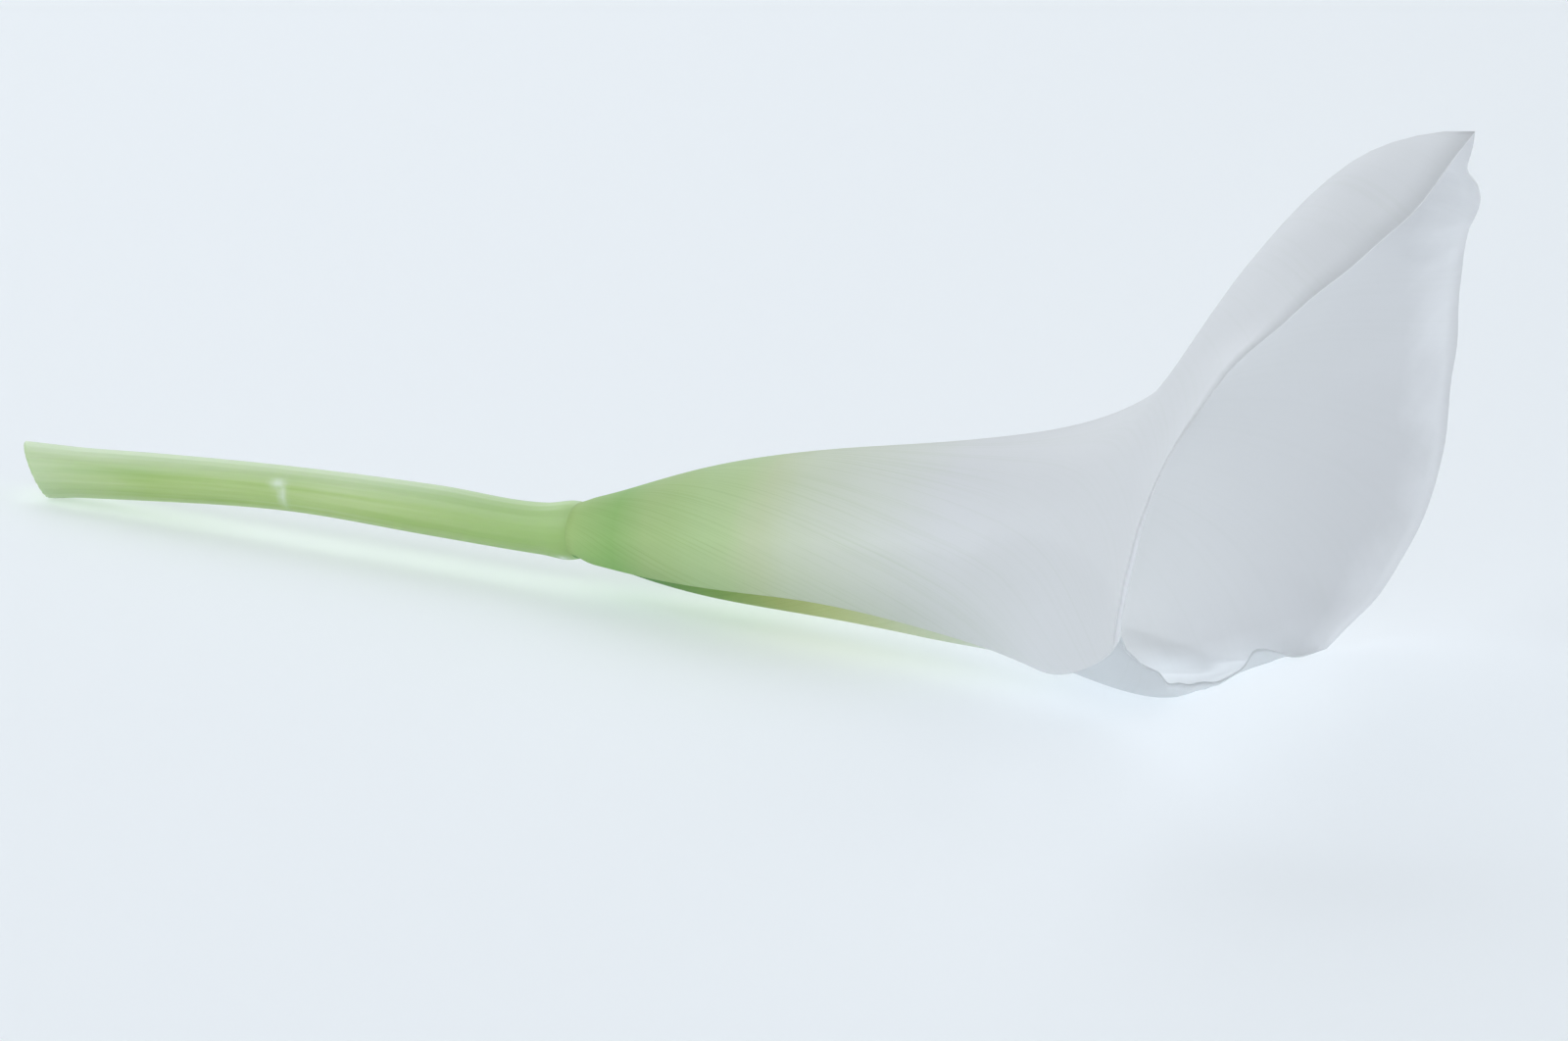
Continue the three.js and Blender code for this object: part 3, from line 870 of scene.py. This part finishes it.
class CALLA_OT_stem(bpy.types.Operator):
    """Grows the stalk ring by ring, with its slanting cut, fine ribs and scars"""

    bl_idname = "calla.stem"
    bl_label = "Stalk"

    def execute(self, context):
        settings = context.scene.calla_stalk
        places, heights, radii = np.array(STALK).T
        alongs = np.linspace(places[0], places[-1], STALK_STEPS)
        bm = bmesh.new()
        grow(bm, STALK_SEGMENTS, [
            (CUT_X + MM * along, MM * curve_value(places, heights, along),
             MM * curve_value(places, radii, along)) for along in alongs])
        cut = min(bm.faces, key=lambda face: face.calc_center_median().x)
        cut.material_index = 1
        pale = bm.verts.layers.float.new("pale")
        straight = bm.verts.layers.float_vector.new("straight")
        neck = (NECK_X - CUT_X) / MM
        for vert in bm.verts:
            along = (vert.co.x - CUT_X) / MM
            height = curve_value(places, heights, along)
            up = vert.co.z / MM - height
            out = (MIDDLE_Y - vert.co.y) / MM
            angle = math.atan2(out, up)
            vert[straight] = (along * MM, up * MM, out * MM)
            radius = math.hypot(up, out)
            vert[pale] = scar_strength(along, angle, radius)
            rib = settings.rib_height / MM * math.cos(settings.rib_count * angle)
            ribbed = float(1 - smooth(neck - RIBS_END, neck, along))
            spread = 1 + rib * ribbed / radius
            fade = float(1 - smooth(places[0], places[0] + CUT_DEPTH, along))
            vert.co.x += MM * (CUT_TURN * out - CUT_SLOPE * up) * fade
            vert.co.y = MIDDLE_Y - MM * out * spread
            vert.co.z = max(MM * (height + up * spread), 0)
        finish_piece(bm, "stalk", [stalk_material(), cut_material()], "stem")
        return {"FINISHED"}


class CALLA_OT_spathe(bpy.types.Operator):
    """Rolls the spathe from a flat blade and gives it its thin wall"""

    bl_idname = "calla.spathe"
    bl_label = "Spathe"

    def execute(self, context):
        settings = context.scene.calla_spathe
        bm = bmesh.new()
        bmesh.ops.create_grid(bm, x_segments=SPATHE_STEPS_ALONG, y_segments=SPATHE_STEPS_ROUND,
                              size=1.0)
        flat = np.array([vert.co for vert in bm.verts])
        place = (flat[:, 0] + 1) / 2
        side = flat[:, 1]
        wall = wall_thickness(settings, place)
        x, y, z = spathe_point(place, side)
        # No point sinks into the surface that the flower lies on
        rest = wall / 2
        z = rest + np.maximum(z - rest, 0)
        blade = bm.loops.layers.uv.new("blade")
        angle = np.abs(wrap_angle(place, side)) / math.pi
        for face in bm.faces:
            for loop in face.loops:
                i = loop.vert.index
                loop[blade].uv = (place[i], angle[i])
        for vert in bm.verts:
            vert.co = (x[vert.index], y[vert.index], z[vert.index])

        # The blade's outer side has to face away from the tube before it gets its wall
        bm.normal_update()
        bm.verts.ensure_lookup_table()
        at_neck = bm.verts[0]
        outward = at_neck.co - Vector((at_neck.co.x, MIDDLE_Y, RINGS[0]["height"] * MM))
        if at_neck.normal.dot(outward) < 0:
            bmesh.ops.reverse_faces(bm, faces=bm.faces)

        white = [(place_along, tuple(settings.white)) for place_along in OUTSIDE_WHITE_SPAN]
        outer = petal_material("calla_petal_outside", [*OUTSIDE_GREEN, *white, OUTSIDE_RIM_HIGHLIGHT],
                               OUTSIDE_LAPPED_GREEN_AND_SHADE, OUTSIDE_VEIN, OUTSIDE_VEIN_DEPTH)
        inner = petal_material("calla_petal_inside", THROAT + INSIDE_WHITE_SHADE_AND_RIM_LIGHT,
                               THROAT + INSIDE_LIP_PAINTED_LIGHT, INSIDE_VEIN, INSIDE_VEIN_DEPTH)
        piece = finish_piece(bm, "spathe_petal", [outer, inner], "spathe")
        group = piece.vertex_groups.new(name="wall")
        thickest = max(settings.wall_neck, settings.wall_rim)
        for i, thickness in enumerate(wall):
            group.add([i], float(thickness / thickest), "REPLACE")
        solid = piece.modifiers.new("wall", "SOLIDIFY")
        solid.thickness = thickest
        solid.offset = 0
        solid.use_even_offset = True
        solid.vertex_group = "wall"
        solid.material_offset = 1
        return {"FINISHED"}


class CALLA_OT_spadix(bpy.types.Operator):
    """Grows the club of the spadix and sets its florets in spirals round it"""

    bl_idname = "calla.spadix"
    bl_label = "Spadix"

    def execute(self, context):
        settings = context.scene.calla_spadix
        random.seed(settings.seed)
        rings = []
        for i in range(SPADIX_STEPS + 1):
            share = math.sin(math.pi / 2 * i / SPADIX_STEPS)
            rings.append((*spadix_centre(share), max(spadix_radius(share), SPADIX_END_RADIUS * MM)))
        bm = bmesh.new()
        grow(bm, SPADIX_SEGMENTS, rings)
        tint = bm.verts.layers.float.new("tint")
        golden_angle = math.pi * (3 - math.sqrt(5))
        share = 0.0
        turn = 0.0
        for _ in range(FLORET_LIMIT):
            radius = spadix_radius(share)
            green = share < FLORET_GREEN_UNTIL
            bead = settings.floret * (FLORET_GREEN_WIDTH if green else 1)
            x, height = spadix_centre(share)
            spot = Vector((x, MIDDLE_Y - radius * math.sin(turn), height + radius * math.cos(turn)))
            size = bead * random.uniform(*FLORET_SIZES)
            made = bmesh.ops.create_icosphere(bm, subdivisions=1, radius=size,
                                              matrix=Matrix.Translation(spot))
            value = random.uniform(*(FLORET_GREEN_TINTS if green else FLORET_TINTS))
            for vert in made["verts"]:
                vert[tint] = value
            share += FLORET_PACKING * bead ** 2 / (2 * math.pi * max(radius, bead)) / SPADIX_LENGTH
            turn += golden_angle
            if share >= 1:
                break
        finish_piece(bm, "spadix_florets", [floret_material()], "spadix")
        return {"FINISHED"}


class CALLA_PT_panel(bpy.types.Panel):
    """Lists the flower's pieces and their sizes"""

    bl_idname = "CALLA_PT_panel"
    bl_label = "Calla Lily"
    bl_space_type = "VIEW_3D"
    bl_region_type = "UI"
    bl_category = "Calla Lily"

    def draw(self, context):
        scene = context.scene
        for operator, settings, names in PIECES:
            self.layout.operator(operator)
            for name in names:
                self.layout.prop(getattr(scene, settings), name)


PIECES = [
    ("calla.stage", "calla_stage", ["floor", "sky", "fill", "key", "distance", "lens"]),
    ("calla.stem", "calla_stalk", ["rib_height", "rib_count"]),
    ("calla.spathe", "calla_spathe", ["wall_neck", "wall_rim", "white"]),
    ("calla.spadix", "calla_spadix", ["floret", "seed"]),
]

SETTINGS = {
    "calla_stage": StageSettings,
    "calla_stalk": StalkSettings,
    "calla_spathe": SpatheSettings,
    "calla_spadix": SpadixSettings,
}

CLASSES = [*SETTINGS.values(), CALLA_OT_stage, CALLA_OT_stem, CALLA_OT_spathe, CALLA_OT_spadix,
           CALLA_PT_panel]


def register():
    for cls in CLASSES:
        bpy.utils.register_class(cls)
    for name, cls in SETTINGS.items():
        setattr(bpy.types.Scene, name, PointerProperty(type=cls))


def unregister():
    for name in SETTINGS:
        delattr(bpy.types.Scene, name)
    for cls in reversed(CLASSES):
        bpy.utils.unregister_class(cls)


def main():
    register()
    bpy.ops.calla.stage()
    bpy.ops.calla.stem()
    bpy.ops.calla.spathe()
    bpy.ops.calla.spadix()


if __name__ == "__main__":
    main()
